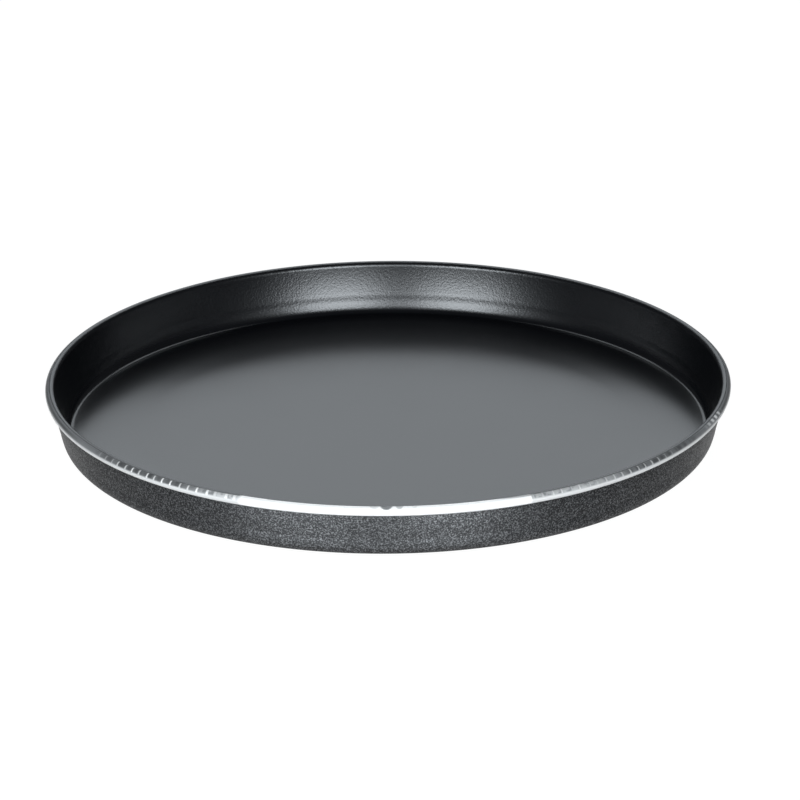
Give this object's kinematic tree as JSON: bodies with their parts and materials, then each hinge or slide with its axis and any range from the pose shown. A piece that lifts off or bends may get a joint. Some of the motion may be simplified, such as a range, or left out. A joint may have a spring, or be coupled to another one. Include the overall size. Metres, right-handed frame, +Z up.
{
  "type": "microwave crisp plate",
  "caption": "Shallow round aluminium crisp plate with a flared wall, a rolled bare rim, black non-stick inside, speckled outside and a heat-absorbing rubber layer and feet under its base.",
  "frame": {"origin": "under the middle of the dish, on the surface that the feet stand on", "axes": "+Z up, along the dish's axis; +X and +Y across it, between the feet"},
  "size_m": [0.305, 0.305, 0.0295],
  "materials": {
    "bare_aluminium": "bare, fine turned",
    "nonstick": "black satin non-stick with a fine metallic grain",
    "speckled_coat": "dark grey speckled lacquer",
    "ferrite_rubber": "dull dark brown-black filled rubber",
    "silicone": "matt grey silicone"
  },
  "bodies": {
    "root": {"pan_shell": "bare_aluminium", "nonstick_lining": "nonstick", "outer_coat": "speckled_coat", "absorber_layer": "ferrite_rubber", "foot_1": "silicone", "foot_2": "silicone", "foot_3": "silicone", "foot_4": "silicone"}
  },
  "joints": []
}
